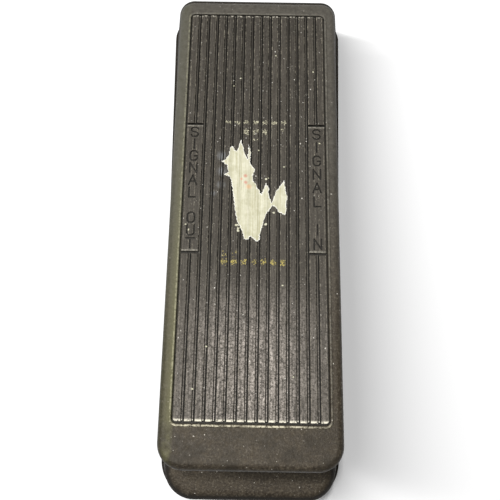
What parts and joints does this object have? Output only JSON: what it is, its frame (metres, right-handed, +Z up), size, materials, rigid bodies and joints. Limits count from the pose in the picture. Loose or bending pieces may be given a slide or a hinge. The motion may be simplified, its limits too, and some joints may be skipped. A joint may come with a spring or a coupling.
{
  "type": "volume pedal",
  "caption": "Foot volume pedal: a ribbed rocking treadle on a hollow cast chassis drives a potentiometer by rack and pinion, with a jack in each side and rubber feet below.",
  "frame": {"origin": "on the floor under the middle of the chassis, at the bottom of the rubber feet", "axes": "+X to the player's right, +Y towards the toe end along the chassis, +Z up"},
  "size_m": [0.0888, 0.254, 0.087],
  "materials": {
    "painted_casting": "worn dark olive-brown wrinkle enamel over a die casting, bare at the edges",
    "tread_rubber": "dusty dark brown-grey ribbed rubber",
    "black_rubber": "matt black moulded rubber",
    "zinc_plated_steel": "dull zinc plate",
    "bright_steel": "turned bright steel",
    "spring_steel": "phosphated spring steel",
    "nickel_plate": "nickel plate, slightly dulled",
    "nylon": "natural nylon",
    "phenolic": "laminated brown phenolic",
    "tinned_brass": "tinned brass",
    "shaft_brass": "turned brass",
    "lead_yellow": "PVC sleeve",
    "lead_red": "PVC sleeve",
    "lead_black": "PVC sleeve"
  },
  "bodies": {
    "chassis": {"axle_clips": "spring_steel", "bottom_plate": "zinc_plated_steel", "bracket_screws": "zinc_plated_steel", "chassis_casting": "painted_casting", "foot_screws": "zinc_plated_steel", "friction_washers": "nylon", "ground_lead": "lead_black", "guide_screw": "zinc_plated_steel", "heel_bumper": "black_rubber", "input_jack_frame": "nickel_plate", "input_jack_insulator": "phenolic", "input_jack_tip_spring": "tinned_brass", "input_lead": "lead_yellow", "jack_link_lead": "lead_black", "jack_nuts": "nickel_plate", "jack_washers": "nickel_plate", "output_jack_frame": "nickel_plate", "output_jack_insulator": "phenolic", "output_jack_tip_spring": "tinned_brass", "output_lead": "lead_red", "pivot_axle": "bright_steel", "pot_bracket": "zinc_plated_steel", "pot_can": "zinc_plated_steel", "pot_front_and_bushing": "nickel_plate", "pot_nut": "nickel_plate", "pot_resistive_track": "phenolic", "pot_terminals": "tinned_brass", "pot_washer": "nickel_plate", "rack_guide": "nylon", "rubber_foot_heel_left": "black_rubber", "rubber_foot_heel_right": "black_rubber", "rubber_foot_toe_left": "black_rubber", "rubber_foot_toe_right": "black_rubber", "toe_bumper": "black_rubber"},
    "treadle": {"treadle_casting": "painted_casting", "tread_mat": "tread_rubber", "axle_bushing_left": "nylon", "axle_bushing_right": "nylon", "rack_pin": "bright_steel", "rack_pin_clips": "spring_steel"},
    "rack": {"rack_gear": "nylon"},
    "pot_shaft_assembly": {"pinion_gear": "nylon", "pinion_set_screw": "bright_steel", "pot_shaft": "shaft_brass", "pot_rotor": "phenolic", "pot_wiper": "tinned_brass"}
  },
  "joints": [
    {"name": "treadle_rock", "type": "hinge", "parent": "chassis", "child": "treadle", "pos_m": [0, 0.0036, 0.05], "axis": [1, 0, 0], "range_deg": [0, 18.6]},
    {"name": "rack_slide", "type": "slide", "parent": "chassis", "child": "rack", "axis": [0, 0, 1], "range_m": [0, 0.01455]},
    {"name": "pot_turn", "type": "hinge", "parent": "chassis", "child": "pot_shaft_assembly", "pos_m": [0, 0.05591, 0.0265], "axis": [-1, 0, 0], "range_deg": [0, 148.81]}
  ],
  "couplings": [
    {"joint": "rack_slide", "follows": "treadle_rock", "m_per_rad": 0.044803},
    {"joint": "pot_turn", "follows": "treadle_rock", "ratio": 8.0005}
  ]
}
